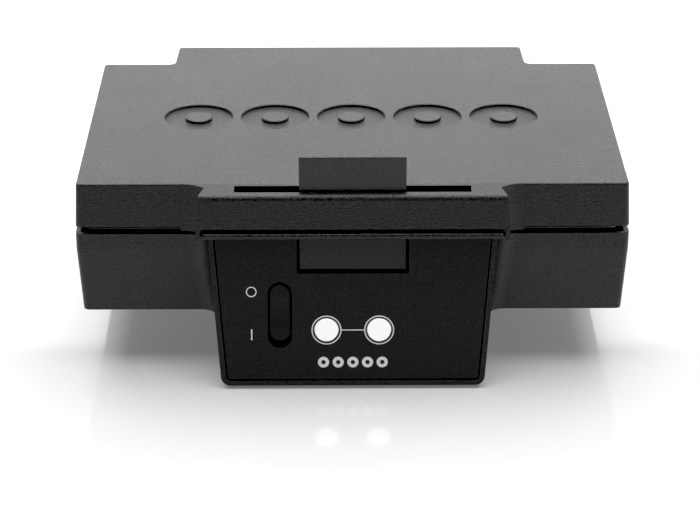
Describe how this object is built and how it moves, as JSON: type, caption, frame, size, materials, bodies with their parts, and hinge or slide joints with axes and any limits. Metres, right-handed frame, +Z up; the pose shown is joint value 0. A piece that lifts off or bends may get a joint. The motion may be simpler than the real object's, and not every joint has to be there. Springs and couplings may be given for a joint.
{
  "type": "donut maker",
  "caption": "Electric donut maker with two heated plates that clamp batter into rings, a hinged lid with a front handle lip and spring latch, and a sliding power switch.",
  "frame": {"origin": "on the table under the middle of the whole object's outline", "axes": "+X to the right seen from the front, +Y to the back (hinge side), +Z up; the rubber feet stand on Z = 0"},
  "size_m": [0.2854, 0.2338, 0.1233],
  "materials": {
    "black_plastic": "fine-textured moulded phenolic-look plastic, satin",
    "panel_plastic": "fine satin moulding",
    "latch_plastic": "smoother satin moulding",
    "inner_plastic": "plain moulded",
    "print_white": "pad-printed ink",
    "lens_white": "milky diffusing lens",
    "coated_aluminium": "die casting with dark non-stick coating",
    "heater_steel": "heat-tinted sheath",
    "reflector_sheet": "rolled sheet",
    "sheet_steel": "zinc-plated strip",
    "screw_steel": "zinc-plated",
    "spacer_steel": "turned tube",
    "pin_steel": "drawn wire",
    "ceramic": "unglazed bead with a steel tag",
    "thermostat_metal": "pressed cap",
    "lamp_glass": "small neon lamp",
    "rubber": "soft moulded",
    "wire_insulation": "woven-look heat-resistant sleeve"
  },
  "bodies": {
    "base": {"base_housing": "black_plastic", "control_panel": "panel_plastic", "panel_markings": "print_white", "panel_screws": "screw_steel", "switch_body": "inner_plastic", "power_lens": "lens_white", "ready_lens": "lens_white", "lamp_holder": "inner_plastic", "indicator_lamps": "lamp_glass", "lower_plate": "coated_aluminium", "lower_heating_element": "heater_steel", "lower_element_terminals": "ceramic", "lower_element_clips": "sheet_steel", "lower_clip_screws": "screw_steel", "lower_plate_spacers": "spacer_steel", "lower_plate_screws": "screw_steel", "lower_reflector": "reflector_sheet", "thermostat": "thermostat_metal", "thermostat_bracket": "sheet_steel", "thermal_fuse": "thermostat_metal", "fuse_clip": "sheet_steel", "fuse_clip_screws": "screw_steel", "bottom_cover": "black_plastic", "feet": "rubber", "bottom_cover_screws": "screw_steel", "cable_inlet_bush": "rubber", "terminal_block": "inner_plastic", "base_wiring": "wire_insulation", "hinge_pin": "pin_steel"},
    "lid": {"lid_cover": "black_plastic", "upper_plate": "coated_aluminium", "upper_heating_element": "heater_steel", "upper_element_terminals": "ceramic", "upper_element_clips": "sheet_steel", "upper_clip_screws": "screw_steel", "upper_plate_spacers": "spacer_steel", "upper_plate_screws": "screw_steel", "upper_reflector": "reflector_sheet", "lid_wiring": "wire_insulation", "latch_pin": "pin_steel"},
    "latch": {"latch_lever": "latch_plastic", "latch_spring": "pin_steel"},
    "slider": {"power_slider": "black_plastic"}
  },
  "joints": [
    {"name": "lid_hinge", "type": "hinge", "parent": "base", "child": "lid", "pos_m": [0, 0.10282, 0.08015], "axis": [-1, 0, 0], "range_deg": [0, 100]},
    {"name": "latch_pivot", "type": "hinge", "parent": "lid", "child": "latch", "pos_m": [0, -0.09838, 0.0985], "axis": [1, 0, 0], "range_deg": [0, 6], "stiffness_Nm_per_rad": 0.3, "deforming": ["latch_spring"]},
    {"name": "power_slide", "type": "slide", "parent": "base", "child": "slider", "axis": [0, -0.1736, -0.9848], "range_m": [0, 0.0033]}
  ]
}
